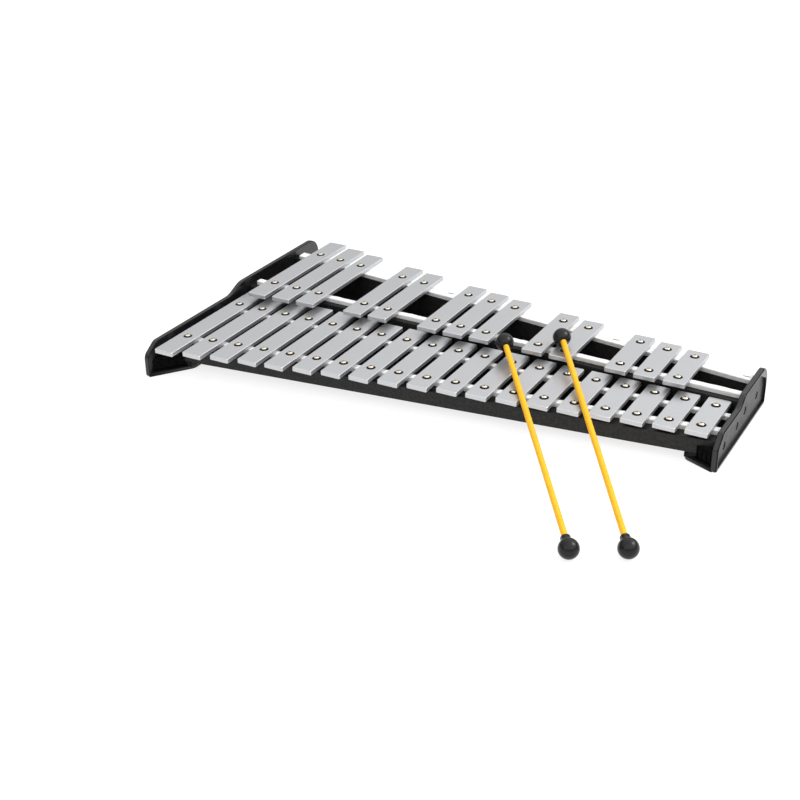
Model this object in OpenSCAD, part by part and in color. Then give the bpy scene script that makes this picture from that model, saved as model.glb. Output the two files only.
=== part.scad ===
// Table-top glockenspiel, F5 to C8, with two double-ended mallets lying across its bars.
// X runs from the low notes to the high notes, Y from the player to the back, Z up.
// Z = 0 is the table. X = 0 is the middle of the keyboard, and Y = 0 is the middle of
// the whole footprint, mallets included. The modules work in the keyboard's own Y,
// measured from its centre line, and in_frame() moves them to the part's frame.

/* [Bars] */
// Distance between neighbouring natural bars
bar_pitch = 33; // [31:0.5:33.5]
// Width of every bar
bar_width = 24.8; // [20:0.1:25.5]
// Thickness of every bar
bar_thickness = 5.2; // [4:0.1:6]
// Sounding pitch of the lowest bar, in hertz
lowest_hertz = 698.46; // [690:0.01:720]
// Flexural constant of the bar alloy for a bar free at both ends, in mm per second
alloy_constant = 5300000; // [5100000:1000:5300000]
// Height of the top of the natural bars
natural_top = 37.3; // [36:0.1:38.5]
// Height of the top of the sharp bars
sharp_top = 49; // [47:0.1:50]
// Radius of the hole for each grommet
bar_hole_r = 5.2; // [4:0.1:5.5]

/* [Frame] */
// Distance between the inner faces of the end caps
inner_length = 635; // [632:1:660]
// Height of the underside of the frame
frame_foot = 10; // [8:0.5:11]
// Thickness of the base board
board_thickness = 3; // [2:0.5:4]
// Thickness of the felt strips that the bars rest on
felt_thickness = 5; // [4:0.5:6]
// Thickness of the end caps
cap_thickness = 6.6; // [6:0.1:8]
// Height of the end caps beside the natural bars
cap_low = 39.4; // [38:0.1:41]
// Height of the end caps beside the sharp bars
cap_high = 49.4; // [48:0.1:52]
// Width of the raised rim round the outside of the end caps
rim_width = 2.6; // [2:0.1:3]
// Width of that rim along the bottom
rim_foot = 4; // [3:0.1:5]
// Depth of the panel inside that rim
rim_depth = 3; // [1:0.1:3]
// How far each front foot reaches in from its end cap
foot_reach = 32; // [26:1:36]
// Thickness of the flange at the bottom of each front foot
foot_flange = 5; // [4:0.5:6]

/* [Fasteners] */
// Radius of the bar screws' heads
screw_head_r = 3.2; // [3:0.1:3.5]
// Height of the bar screws' heads at the rim
screw_wall = 0.9; // [0.6:0.1:1.2]
// Rise of the dome on the bar screws' heads
screw_crown = 1.1; // [0.8:0.1:1.4]
// Radius of the bar screws' shanks
screw_shank_r = 1.75; // [1.5:0.05:2]
// Depth of the bar screws in their rails
screw_bite = 12; // [8:1:14]
// Radius of the cap screws' heads
cap_screw_head_r = 3.9; // [3:0.1:4]
// Radius of the cap screws' shanks
cap_screw_shank_r = 1.6; // [1.4:0.1:1.8]

/* [Mallets] */
// Distance between the centres of a mallet's two balls
mallet_span = 353; // [340:1:360]
// Radius of the balls
ball_r = 10.2; // [9:0.1:10.5]
// Radius of the shafts
shaft_r = 3.2; // [2.5:0.1:3.2]

/* [Hidden] */
$fn = 48;
clearance = 0.05;
half_length = inner_length / 2;

// Node lines: keyboard Y at the low end and at the high end, under the bars' screws.
natural_front_line = [-134, -60];
natural_rear_line = [-27.5, -14];
sharp_front_line = [28, 5];
sharp_rear_line = [139, 54.5];

// How far the middle of the bars is behind the middle of their screws, at both ends
natural_shift = [0.3, -0.6];
sharp_shift = [2.2, -0.3];

// Front and back edge of each rail and felt strip, measured from its node line.
natural_front_rail_span = [-12.5, 12];
natural_rear_rail_span = [-9.2, 5.5];
sharp_front_rail_span = [-3.6, 12];
sharp_rear_rail_span = [-9.2, 5.2];
natural_front_felt_span = [2.2, 10.8];
natural_rear_felt_span = [-9, -2];
sharp_front_felt_span = [3.4, 11.6];
sharp_rear_felt_span = [-9, 5];

board_top = frame_foot + board_thickness;
natural_underside = natural_top - bar_thickness;
sharp_underside = sharp_top - bar_thickness;
natural_rail_top = natural_underside - felt_thickness;
sharp_rail_top = sharp_underside - felt_thickness;
grommet_lip = 0.3;
felt_low_end = 6.5;
felt_high_end = 0.6;
bar_corner_r = 1.6;
bar_chamfer = 0.5;

// End caps: [front, rear, start and end of the step, run of the front slant, radius of its bends,
// rear radius, how far the foot's front edge has passed behind the rail's front face at its inner end]
low_cap = [-181, 187, [-20, 15], 18.5, 11, 20, 5.5];
high_cap = [-88, 86, [-19, 4], 15, 6.5, 20, 2];
// Height where the end caps' upright front meets the slant
bend_height = 27;
wall_setback = 4.5;
wall_thickness = 2.4;
wall_top = 20;
wall_back = 60;
rib_count = 5;
rib_size = 0.9;
foot_corner = 5;
panel_x = half_length + cap_thickness - rim_depth;
head_sink = 1.8;
cap_screw_bite = 18;
cap_screw_drop = 2;
recess_cut = [[-31, -2.6], [-7, -15.3], [-2.6, -27]];

// Mallets: [centre of the ball on the table, heading, rise]
mallet_1_pose = [[251.5, -295.8, ball_r], 124.83, 7.1];
mallet_2_pose = [[298.9, -269.8, ball_r], 123.26, 8.02];
neck_r = 5.1;
neck_end = 15.2;
socket_depth = 6;

// Staples through the rear felt strip
staple_x = [-304, -75, 152, 309.5];
staple_offset = [3.4, -3.2];
staple_width = 10;
staple_wire = 0.8;
staple_leg = 9;

footprint_front = mallet_1_pose[0][1] - ball_r;
footprint_rear = low_cap[1];
frame_y = -(footprint_front + footprint_rear) / 2;

// Notes are counted in semitones from the lowest bar.
NOTE_COUNT = 32;
LETTERS = ["f", "fs", "g", "gs", "a", "as", "b", "c", "cs", "d", "ds", "e"];
function letter(note) = LETTERS[note % 12];
function octave(note) = 5 + floor((note + 5) / 12);
function note_name(note) = str("bar_", letter(note), octave(note));
function is_sharp(note) = len(letter(note)) == 2;
function naturals_below(note) =
    len([for (n = [0 : 1 : note - 1]) if (!is_sharp(n)) n]);
middle_bar = naturals_below(NOTE_COUNT - 1) / 2;

function note_x(note) =
    (naturals_below(note) - (is_sharp(note) ? 0.5 : 0) - middle_bar) * bar_pitch;
function note_hertz(note) = lowest_hertz * pow(2, note / 12);
function bar_length(note) = sqrt(alloy_constant * bar_thickness / note_hertz(note));
function note_lines(note) = is_sharp(note)
    ? [sharp_front_line, sharp_rear_line]
    : [natural_front_line, natural_rear_line];
function underside(note) = is_sharp(note) ? sharp_underside : natural_underside;
function line_y(line, x) = line[0] + (line[1] - line[0]) * (x / inner_length + 0.5);
function bar_centre(note) = let (x = note_x(note), lines = note_lines(note))
    (line_y(lines[0], x) + line_y(lines[1], x)) / 2
    + line_y(is_sharp(note) ? sharp_shift : natural_shift, x);

naturals = [for (n = [0 : NOTE_COUNT - 1]) if (!is_sharp(n)) n];
sharps = [for (n = [0 : NOTE_COUNT - 1]) if (is_sharp(n)) n];

bar_silver = [0.78, 0.78, 0.79];
rail_black = [0.09, 0.09, 0.1];
cap_black = [0.13, 0.13, 0.14];
felt_white = [0.93, 0.93, 0.92];
rubber_black = [0.05, 0.05, 0.05];
nickel = [0.8, 0.76, 0.68];
shaft_yellow = [0.98, 0.78, 0.05];

// ---- shared shapes ----

module in_frame() translate([0, frame_y, 0]) children();

function arc(centre, r, from, to, steps) =
    [for (i = [0 : steps]) let (a = from + (to - from) * i / steps)
        centre + r * [cos(a), sin(a)]];

function s_curve(from, to, steps) =
    [for (i = [0 : steps]) let (t = i / steps)
        [from[0] + (to[0] - from[0]) * t, from[1] + (to[1] - from[1]) * (1 - cos(180 * t)) / 2]];

function rounded_rectangle(width, length, r) =
    let (x = width / 2 - r, y = length / 2 - r)
    concat(arc([x, y], r, 0, 90, 4), arc([-x, y], r, 90, 180, 4),
           arc([-x, -y], r, 180, 270, 4), arc([x, -y], r, 270, 360, 4));

// Cross-section of a bar's blank with its two top edges chamfered
function chamfered(width) = let (x = width / 2, c = bar_chamfer, t = bar_thickness)
    [[-x, 0], [x, 0], [x, t - c], [x - c, t], [c - x, t], [-x, t - c]];

module bar_blank(length)
    intersection() {
        linear_extrude(bar_thickness) polygon(rounded_rectangle(bar_width, length, bar_corner_r));
        rotate([90, 0, 0]) linear_extrude(length + 2, center = true) polygon(chamfered(bar_width));
        rotate([90, 0, 90]) linear_extrude(bar_width + 2, center = true) polygon(chamfered(length));
    }

// Plan of a strip that follows a node line between two distances from it
function strip(line, span, x0, x1) =
    [[x0, line_y(line, x0) + span[0]], [x1, line_y(line, x1) + span[0]],
     [x1, line_y(line, x1) + span[1]], [x0, line_y(line, x0) + span[1]]];

module strip_solid(line, span, x0, x1, z0, z1)
    translate([0, 0, z0]) linear_extrude(z1 - z0) polygon(strip(line, span, x0, x1));

// Places children at every screw of one line of bars
module at_screws(notes, line)
    for (n = notes) translate([note_x(n), line_y(line, note_x(n)), 0]) children();

// The rails as [node line, front and back edge, bottom, top, cap screws' distance from the line]
NATURAL_FRONT = [natural_front_line, natural_front_rail_span, frame_foot, natural_rail_top, 3];
NATURAL_REAR = [natural_rear_line, natural_rear_rail_span, board_top, natural_rail_top, 1];
SHARP_FRONT = [sharp_front_line, sharp_front_rail_span, board_top, sharp_rail_top, 8];
SHARP_REAR = [sharp_rear_line, sharp_rear_rail_span, frame_foot, sharp_rail_top, 2];
RAILS = [NATURAL_FRONT, NATURAL_REAR, SHARP_FRONT, SHARP_REAR];

// Y and Z of the cap screw at one end of a rail
function cap_screw_place(r, side) =
    [line_y(r[0], side * half_length) + r[4], (r[2] + r[3]) / 2 - cap_screw_drop];

module rail(r, notes)
    difference() {
        strip_solid(r[0], r[1], -half_length, half_length, r[2], r[3]);
        at_screws(notes, r[0]) translate([0, 0, r[3] - screw_bite - clearance])
            cylinder(h = screw_bite + 1, r = screw_shank_r + clearance);
        for (side = [-1, 1]) let (place = cap_screw_place(r, side))
            translate([side * half_length, place[0], place[1]])
                rotate([0, -90 * side, 0]) translate([0, 0, -1])
                    cylinder(h = cap_screw_bite + 1 + clearance, r = cap_screw_shank_r + clearance);
    }

// ---- bars ----

module bar(note)
    color(bar_silver) in_frame() translate([note_x(note), 0, underside(note)])
        difference() {
            translate([0, bar_centre(note), 0]) bar_blank(bar_length(note));
            for (line = note_lines(note)) translate([0, line_y(line, note_x(note)), -1])
                cylinder(h = bar_thickness + 2, r = bar_hole_r);
        }

module grommet(base)
    translate([0, 0, base]) difference() {
        cylinder(h = bar_thickness + grommet_lip, r = bar_hole_r - clearance);
        translate([0, 0, -1])
            cylinder(h = bar_thickness + 3, r = screw_shank_r + clearance);
    }

module grommets(notes)
    for (line = note_lines(notes[0])) at_screws(notes, line) grommet(underside(notes[0]));

// Pan-head screw: the head is a short disc whose top is a shallow part of a sphere.
module bar_screw(seat, bite_end) {
    dome_r = (screw_head_r * screw_head_r + screw_crown * screw_crown) / (2 * screw_crown);
    translate([0, 0, seat]) intersection() {
        cylinder(h = screw_wall + screw_crown, r = screw_head_r);
        translate([0, 0, screw_wall + screw_crown - dome_r]) sphere(r = dome_r);
    }
    translate([0, 0, bite_end]) cylinder(h = seat - bite_end, r = screw_shank_r);
}

module bar_screws(notes) {
    seat = underside(notes[0]) + bar_thickness + grommet_lip;
    rail_top = underside(notes[0]) - felt_thickness;
    for (line = note_lines(notes[0])) at_screws(notes, line) bar_screw(seat, rail_top - screw_bite);
}

module natural_bar_grommets() color(rubber_black) in_frame() grommets(naturals);
module sharp_bar_grommets() color(rubber_black) in_frame() grommets(sharps);
module natural_bar_screws() color(nickel) in_frame() bar_screws(naturals);
module sharp_bar_screws() color(nickel) in_frame() bar_screws(sharps);

// ---- frame ----

module natural_front_rail() color(rail_black) in_frame() rail(NATURAL_FRONT, naturals);
module natural_rear_rail() color(rail_black) in_frame() rail(NATURAL_REAR, naturals);
module sharp_front_rail() color(rail_black) in_frame() rail(SHARP_FRONT, sharps);
module sharp_rear_rail() color(rail_black) in_frame() rail(SHARP_REAR, sharps);

module base_board() color(rail_black) in_frame() {
    front = natural_front_rail_span[1];
    rear = sharp_rear_rail_span[0];
    translate([0, 0, frame_foot]) linear_extrude(board_thickness) polygon([
        [-half_length, natural_front_line[0] + front], [half_length, natural_front_line[1] + front],
        [half_length, sharp_rear_line[1] + rear], [-half_length, sharp_rear_line[0] + rear]]);
}

module felt(line, span, z0)
    strip_solid(line, span, felt_low_end - half_length, half_length - felt_high_end,
                z0, z0 + felt_thickness);

module natural_front_felt() color(felt_white) in_frame()
    felt(natural_front_line, natural_front_felt_span, natural_rail_top);
module natural_rear_felt() color(felt_white) in_frame()
    felt(natural_rear_line, natural_rear_felt_span, natural_rail_top);
module sharp_front_felt() color(felt_white) in_frame()
    felt(sharp_front_line, sharp_front_felt_span, sharp_rail_top);
module sharp_rear_felt() color(felt_white) in_frame() difference() {
    felt(sharp_rear_line, sharp_rear_felt_span, sharp_rail_top);
    at_screws(sharps, sharp_rear_line) translate([0, 0, sharp_rail_top - 1])
        cylinder(h = felt_thickness + 2, r = screw_shank_r + 0.3);
}

module felt_staples() color(nickel) in_frame()
    for (x = staple_x)
        translate([x, line_y(sharp_rear_line, x) + line_y(staple_offset, x), sharp_underside]) {
            translate([-staple_width / 2, -staple_wire / 2, 0])
                cube([staple_width, staple_wire, staple_wire]);
            for (side = [-1, 1])
                translate([side * (staple_width - staple_wire) / 2, 0, (staple_wire - staple_leg) / 2])
                    cube([staple_wire, staple_wire, staple_leg], center = true);
        }

// ---- end caps: built for the high end, and mirrored for the low end ----

function cap_front(cap, inset) =
    let (front = cap[0], step = cap[2], slant = cap[3], r = cap[4],
         tilt = atan2(cap_low - bend_height, slant),
         low_bend = [front + r, bend_height - r * tan(45 - tilt / 2)],
         high_bend = [front + slant + r * tan(tilt / 2), cap_low - r])
    concat(arc(low_bend, r - inset, 180, 90 + tilt, 7), arc(high_bend, r - inset, 90 + tilt, 90, 7),
           s_curve([step[0], cap_low - inset], [step[1], cap_high - inset], 14));

function cap_outline(cap) =
    let (rear = cap[1], rear_r = cap[5])
    concat([[rear, 0], [cap[0], 0]], cap_front(cap, 0),
           arc([rear - rear_r, cap_high - rear_r], rear_r, 90, 0, 14));

// The panel's outline: the rim keeps one width, but is wider at the foot and the rear corner.
function recess_outline(cap) =
    concat([[cap[1] - rim_width, rim_foot], [cap[0] + rim_width, rim_foot]],
           cap_front(cap, rim_width), [for (p = recess_cut) [cap[1], cap_high] + p]);

module cap_slab(outline, x0, x1)
    translate([x0, 0, 0]) rotate([90, 0, 90]) linear_extrude(x1 - x0) polygon(outline);

// Places children at the four cap screws, along +X outwards
module at_cap_screws(side)
    for (r = RAILS) let (place = cap_screw_place(r, side))
        translate([0, place[0], place[1]]) rotate([0, 90, 0]) children();

function flipped(line, side) = side > 0 ? line : [line[1], line[0]];

// Plan of the front foot: a slanting front edge, a rounded corner and a straight inner edge
function foot_plan(a, b, rail_face) =
    let (along = (a - b) / norm(a - b) * foot_corner,
         c = [b[0], rail_face + natural_front_rail_span[1] - natural_front_rail_span[0]])
    concat([a + [1, 0], a],
           [for (i = [0 : 6]) let (t = i / 6) b + along * pow(1 - t, 2) + [0, foot_corner] * t * t],
           [c, [half_length + 1, c[1]]]);

module front_foot(cap, line) {
    face_at_foot = line_y(line, half_length - foot_reach) + natural_front_rail_span[0];
    a = [half_length, cap[0]];
    b = [half_length - foot_reach, face_at_foot + cap[6]];
    plan = foot_plan(a, b, face_at_foot);
    along = (b - a) / norm(b - a);
    back = [along[1], -along[0]];
    // flange on the table, and the seat under the rail's end
    linear_extrude(foot_flange) polygon(plan);
    intersection() {
        linear_extrude(frame_foot) polygon(plan);
        strip_solid(line, natural_front_rail_span, 0, half_length + 1, 0, frame_foot);
    }
    // ribbed wall set back from the flange's edge, in front of the rail
    difference() {
        union() {
            linear_extrude(wall_top) polygon([
                a + back * wall_setback, b + back * wall_setback,
                b + back * (wall_setback + wall_thickness),
                a + back * (wall_setback + wall_thickness)]);
            for (i = [1 : rib_count])
                linear_extrude(wall_top) polygon(let (
                    p = a + (b - a) * i / (rib_count + 1) + back * (wall_setback - rib_size))
                    [p, p + along * rib_size, p + along * rib_size + back * (rib_size + 1),
                     p + back * (rib_size + 1)]);
        }
        strip_solid(line, [natural_front_rail_span[0], wall_back], 0, half_length + wall_back,
                    frame_foot, wall_top + 1);
        translate([half_length + 2, cap[0], -1]) cube([wall_back, wall_back, wall_top + 2]);
    }
}

module end_cap(cap, side)
    difference() {
        union() {
            cap_slab(cap_outline(cap), half_length, half_length + cap_thickness);
            front_foot(cap, flipped(natural_front_line, side));
        }
        cap_slab(recess_outline(cap), panel_x, half_length + cap_thickness + 1);
        at_cap_screws(side) {
            translate([0, 0, half_length - 1])
                cylinder(h = cap_thickness + 2, r = cap_screw_shank_r + clearance);
            translate([0, 0, panel_x - head_sink])
                cylinder(h = head_sink + 1, r = cap_screw_head_r + 0.3);
        }
    }

module low_end_cap() color(cap_black) in_frame() mirror([1, 0, 0]) end_cap(low_cap, -1);
module high_end_cap() color(cap_black) in_frame() end_cap(high_cap, 1);

module cap_screws(side)
    at_cap_screws(side) {
        translate([0, 0, panel_x - head_sink]) cylinder(h = head_sink - 0.2, r = cap_screw_head_r);
        translate([0, 0, half_length - cap_screw_bite])
            cylinder(h = panel_x - head_sink - half_length + cap_screw_bite, r = cap_screw_shank_r);
    }

module low_cap_screws() color(rubber_black) in_frame() mirror([1, 0, 0]) cap_screws(-1);
module high_cap_screws() color(rubber_black) in_frame() cap_screws(1);

// ---- mallets: built upwards from the ball on the table, then laid down ----

module laid(pose)
    in_frame() translate(pose[0]) rotate([0, 90 - pose[2], pose[1]]) children();

module mallet_shaft(pose) color(shaft_yellow) laid(pose)
    translate([0, 0, ball_r - socket_depth])
        cylinder(h = mallet_span - 2 * (ball_r - socket_depth), r = shaft_r);

module mallet_head(pose) color(rubber_black) laid(pose) difference() {
    translate([0, 0, mallet_span]) sphere(r = ball_r);
    translate([0, 0, mallet_span - ball_r - 1]) cylinder(h = socket_depth + 1, r = shaft_r + clearance);
}

module mallet_end_ball(pose) color(rubber_black) laid(pose) difference() {
    union() {
        sphere(r = ball_r);
        cylinder(h = neck_end, r = neck_r);
    }
    translate([0, 0, ball_r - socket_depth]) cylinder(h = neck_end, r = shaft_r + clearance);
}

for (n = [0 : NOTE_COUNT - 1]) bar(n);
low_end_cap();
high_end_cap();
natural_front_rail();
natural_rear_rail();
sharp_front_rail();
sharp_rear_rail();
base_board();
natural_front_felt();
natural_rear_felt();
sharp_front_felt();
sharp_rear_felt();
natural_bar_grommets();
sharp_bar_grommets();
natural_bar_screws();
sharp_bar_screws();
low_cap_screws();
high_cap_screws();
felt_staples();
mallet_shaft(mallet_1_pose);  // mallet_1_shaft
mallet_head(mallet_1_pose);  // mallet_1_head
mallet_end_ball(mallet_1_pose);  // mallet_1_end_ball
mallet_shaft(mallet_2_pose);  // mallet_2_shaft
mallet_head(mallet_2_pose);  // mallet_2_head
mallet_end_ball(mallet_2_pose);  // mallet_2_end_ball
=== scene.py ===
"""Looks for the glockenspiel. Every CAD node is replaced by a detailed piece built in its place.

Metres throughout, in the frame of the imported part: X from low notes to high notes, Y from the
player to the back, Z up from the table. Places and sizes are read from the CAD nodes.
"""
import math
import random
from collections import namedtuple

import bmesh
import bpy
from mathutils import Matrix, Vector, noise


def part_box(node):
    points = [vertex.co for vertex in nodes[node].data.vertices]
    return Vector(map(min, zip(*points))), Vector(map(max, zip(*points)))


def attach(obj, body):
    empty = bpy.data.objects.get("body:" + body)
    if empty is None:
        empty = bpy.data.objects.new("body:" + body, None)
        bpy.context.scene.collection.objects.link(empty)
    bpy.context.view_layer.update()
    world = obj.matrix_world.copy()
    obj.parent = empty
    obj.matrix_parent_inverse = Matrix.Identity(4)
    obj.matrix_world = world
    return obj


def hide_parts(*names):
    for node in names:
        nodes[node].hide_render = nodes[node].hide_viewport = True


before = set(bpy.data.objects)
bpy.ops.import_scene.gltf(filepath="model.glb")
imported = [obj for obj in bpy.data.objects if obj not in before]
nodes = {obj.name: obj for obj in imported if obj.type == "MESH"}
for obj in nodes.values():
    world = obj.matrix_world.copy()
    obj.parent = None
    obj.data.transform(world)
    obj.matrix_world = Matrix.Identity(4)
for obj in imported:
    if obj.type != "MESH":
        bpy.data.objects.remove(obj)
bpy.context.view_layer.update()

MM = 0.001
WELD = 1e-6
SHARP = math.radians(38)
CIRCLE_STEPS = 40
# edges that turn outwards by less than the first angle get no edge mark, by the second or more the full
# mark, which is wear on most materials and painted shade on the black plastics
EDGE_MARK_START, EDGE_MARK_FULL = math.radians(16), math.radians(28)
scene = bpy.context.scene
chance = random.Random(32)

# ---- camera: where the photographer stood ----

EYE = Vector((0.6253, -1.20705, 0.6996))
YAW, PITCH, ROLL = (math.radians(a) for a in (-29.406, 27.492, 0.729))
LENS, SENSOR = 61.2, 36.0


def make_camera():
    data = bpy.data.cameras.new("camera")
    data.lens, data.sensor_width = LENS, SENSOR
    data.clip_start, data.clip_end = 0.05, 60
    camera = bpy.data.objects.new("camera", data)
    scene.collection.objects.link(camera)
    reach = math.cos(PITCH)
    forward = Vector((math.sin(YAW) * reach, math.cos(YAW) * reach, -math.sin(PITCH)))
    level = Vector((math.cos(YAW), -math.sin(YAW), 0))
    down = forward.cross(level)
    right = level * math.cos(ROLL) + down * math.sin(ROLL)
    up = level * math.sin(ROLL) - down * math.cos(ROLL)
    turn = Matrix((right, up, -forward)).transposed()
    camera.matrix_world = Matrix.Translation(EYE) @ turn.to_4x4()
    scene.camera = camera


make_camera()

# ---- reading the frame ----


def solids_of(node):
    """(low corner, high corner) of every separate solid in a CAD node, from left to right."""
    bm = bmesh.new()
    bm.from_mesh(nodes[node].data)
    bmesh.ops.remove_doubles(bm, verts=bm.verts, dist=WELD)
    seen, boxes = set(), []
    for start in bm.verts:
        if start in seen:
            continue
        seen.add(start)
        queue, group = [start], []
        while queue:
            vert = queue.pop()
            group.append(vert.co.copy())
            for edge in vert.link_edges:
                other = edge.other_vert(vert)
                if other not in seen:
                    seen.add(other)
                    queue.append(other)
        boxes.append((Vector(map(min, zip(*group))), Vector(map(max, zip(*group)))))
    bm.free()
    return sorted(boxes, key=lambda b: tuple(b[0]))


def strip_of(node):
    """(plan corners, lowest Z, highest Z) of a rail, felt strip or board.

    The corners go anticlockwise from the front left.
    """
    low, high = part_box(node)

    def edge_at(x):
        ys = [v.co.y for v in nodes[node].data.vertices if abs(v.co.x - x) < 10 * WELD]
        return min(ys), max(ys)

    (front_left, rear_left), (front_right, rear_right) = edge_at(low.x), edge_at(high.x)
    corners = [(low.x, front_left), (high.x, front_right), (high.x, rear_right), (low.x, rear_left)]
    return [Vector(c) for c in corners], low.z, high.z


def between(a, b, x):
    """Y at x on the line through two plan points."""
    return a.y + (b.y - a.y) * (x - a.x) / (b.x - a.x)


# ---- outlines ----


def arc(centre, radius, start, end, steps):
    """Points round part of a circle, from one angle to another in degrees."""
    angles = [math.radians(start + (end - start) * i / steps) for i in range(steps + 1)]
    return [Vector(centre) + radius * Vector((math.cos(a), math.sin(a))) for a in angles]


def circle(centre, radius, steps=CIRCLE_STEPS):
    return arc(centre, radius, 0, 360, steps)[:-1]


def s_curve(start, end, steps):
    """A smooth step from one point to another, level at both ends."""
    points = []
    for i in range(steps + 1):
        t = i / steps
        rise = (1 - math.cos(math.pi * t)) / 2
        across = start[0] + (end[0] - start[0]) * t
        points.append(Vector((across, start[1] + (end[1] - start[1]) * rise)))
    return points


def rounded_rectangle(centre, width, length, radius):
    x, y = width / 2 - radius, length / 2 - radius
    points = []
    for turn, (sx, sy) in enumerate([(1, 1), (-1, 1), (-1, -1), (1, -1)]):
        middle = Vector(centre) + Vector((sx * x, sy * y))
        points += arc(middle, radius, 90 * turn, 90 * turn + 90, 5)
    return points


def inset(outline, distance):
    """A closed anticlockwise outline moved inwards by a distance, or outwards by a negative one."""
    moved = []
    for i, point in enumerate(outline):
        a = (point - outline[i - 1]).normalized()
        b = (outline[(i + 1) % len(outline)] - point).normalized()
        moved.append(point + Vector((-a.y - b.y, a.x + b.x)) * distance / (1 + a.dot(b)))
    return moved


def edge_steps(thickness, radius, steps=3):
    """(inset, height) up the side of a slab that has both its edges rounded."""
    turn = [math.pi / 2 * i / steps for i in range(steps + 1)]
    foot = [(radius * (1 - math.sin(t)), radius * (1 - math.cos(t))) for t in turn]
    return foot + [(i, thickness - h) for i, h in reversed(foot)]


# ---- mesh building ----


def loft(bm, loops):
    """Joins closed loops of equally many points with quads, and returns their rows of vertices."""
    rows = [[bm.verts.new(p) for p in loop] for loop in loops]
    for low, high in zip(rows, rows[1:]):
        for i in range(len(low)):
            bm.faces.new((low[i - 1], low[i], high[i], high[i - 1]))
    return rows


def fill(bm, *rows):
    """Closes the flat region between rows of vertices, selects its faces and returns them."""
    if len(rows) == 1:
        faces = [bm.faces.new(rows[0])]
    else:
        edges = [bm.edges.get((row[i - 1], row[i])) for row in rows for i in range(len(row))]
        made = bmesh.ops.triangle_fill(bm, use_beauty=True, use_dissolve=False, edges=edges)
        faces = [g for g in made["geom"] if isinstance(g, bmesh.types.BMFace)]
    for face in faces:
        face.select = True
    return faces


def flat(z):
    """Places a plan outline at a height above z."""
    return lambda point, height: (point.x, point.y, z + height)


def slab(bm, outline, place, thickness, edge, holes=(), hole_edge=0.25 * MM):
    """A plate with rounded edges and round holes right through it."""
    steps = edge_steps(thickness, edge)
    sides = loft(bm, [[place(p, h) for p in inset(outline, i)] for i, h in steps])
    bores = []
    for centre, radius in holes:
        hole = circle(centre, radius)
        rings = [(inset(hole, -i), h) for i, h in edge_steps(thickness, hole_edge)]
        bores.append(loft(bm, [[place(p, h) for p in ring] for ring, h in rings]))
    for end in (0, -1):
        fill(bm, sides[end], *[b[end] for b in bores])


def lathe(bm, profile, turn=Matrix.Identity(4), steps=CIRCLE_STEPS):
    """Turns (radius, height) points round the local Z axis. A first or last radius of 0 is a pole."""
    rims = [p for p in profile if p[0] > 0]
    angles = [math.tau * i / steps for i in range(steps)]
    loops = [[turn @ Vector((r * math.cos(a), r * math.sin(a), z)) for a in angles] for r, z in rims]
    rows = loft(bm, loops)
    for end, row in ((0, rows[0]), (-1, rows[-1])):
        if profile[end][0] == 0:
            pole = bm.verts.new(turn @ Vector((0, 0, profile[end][1])))
            for i in range(steps):
                bm.faces.new((row[i - 1], row[i], pole))
        elif profile[0] != profile[-1]:
            bm.faces.new(row)


def corner_normals(bm):
    """A normal for every face corner: flat faces stay flat, and roundings run smoothly into them."""
    normals = []
    for face in bm.faces:
        for corner in face.loops:
            near = [f for f in corner.vert.link_faces if f.normal.angle(face.normal, 0) < SHARP]
            level = [face] if face.select else [f for f in near if f.select]
            total = sum((f.normal * f.calc_area() for f in level or near), Vector())
            normals.append(total.normalized())
    return normals


def mark_edges(bm):
    """Stores the edge mark of every face corner, for wear and for painted shade on edges: 0 on flat faces,
    1 along the middle of a rounded edge.
    """
    layer = bm.loops.layers.float.get("edge_mark") or bm.loops.layers.float.new("edge_mark")
    for vert in bm.verts:
        turn = max((edge.calc_face_angle_signed(0) for edge in vert.link_edges), default=0)
        edge_mark = min(max((turn - EDGE_MARK_START) / (EDGE_MARK_FULL - EDGE_MARK_START), 0), 1)
        for corner in vert.link_loops:
            corner[layer] = 0 if corner.face.select else edge_mark


def to_object(bm, name, *materials):
    """A shaded mesh object from a bmesh, with its hard edges kept hard."""
    bmesh.ops.recalc_face_normals(bm, faces=bm.faces)
    for face in bm.faces:
        face.smooth = True
    for edge in bm.edges:
        edge.smooth = len(edge.link_faces) != 2 or edge.calc_face_angle() < SHARP
    mark_edges(bm)
    normals = corner_normals(bm) if any(face.select for face in bm.faces) else []
    mesh = bpy.data.meshes.new(name)
    bm.to_mesh(mesh)
    bm.free()
    if normals:
        mesh.normals_split_custom_set(normals)
    for material in materials:
        mesh.materials.append(material)
    made = bpy.data.objects.new(name, mesh)
    scene.collection.objects.link(made)
    return made


def stand_for(made, node, slot, body="instrument"):
    """Hides the CAD node that a finished piece replaces and hangs the piece on the body that it rides on.
    slot is not used.
    """
    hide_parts(node)
    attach(made, body)


# ---- materials ----

# size of the cells pressed into the base board, and the light that the paper on the floor gives off
HATCH = MM / 0.9
FLOOR_GLOW = 0.8


def new_material(name):
    material = bpy.data.materials.new(name)
    material.use_nodes = True
    return material, material.node_tree, material.node_tree.nodes["Principled BSDF"]


def add(tree, kind, inputs=None, **settings):
    """A shader node with its inputs set to values or joined to other nodes' outputs."""
    made = tree.nodes.new("ShaderNode" + kind)
    for name, value in settings.items():
        setattr(made, name, value)
    for name, value in (inputs or {}).items():
        if isinstance(value, bpy.types.NodeSocket):
            tree.links.new(value, made.inputs[name])
        else:
            made.inputs[name].default_value = value
    return made


def place_of(tree, stretch=(1, 1, 1)):
    """Object coordinates in metres, stretched for grain that runs one way."""
    where = add(tree, "TexCoord").outputs["Object"]
    return add(tree, "Mapping", {"Vector": where, "Scale": stretch}).outputs["Vector"]


def speckle(tree, size, detail=4.0, stretch=(1, 1, 1), distortion=0.0):
    """Noise from 0 to 1 with patches of about one size."""
    inputs = {"Vector": place_of(tree, stretch), "Scale": 1 / size}
    inputs.update({"Detail": detail, "Distortion": distortion})
    return add(tree, "TexNoise", inputs).outputs["Fac"]


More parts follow.
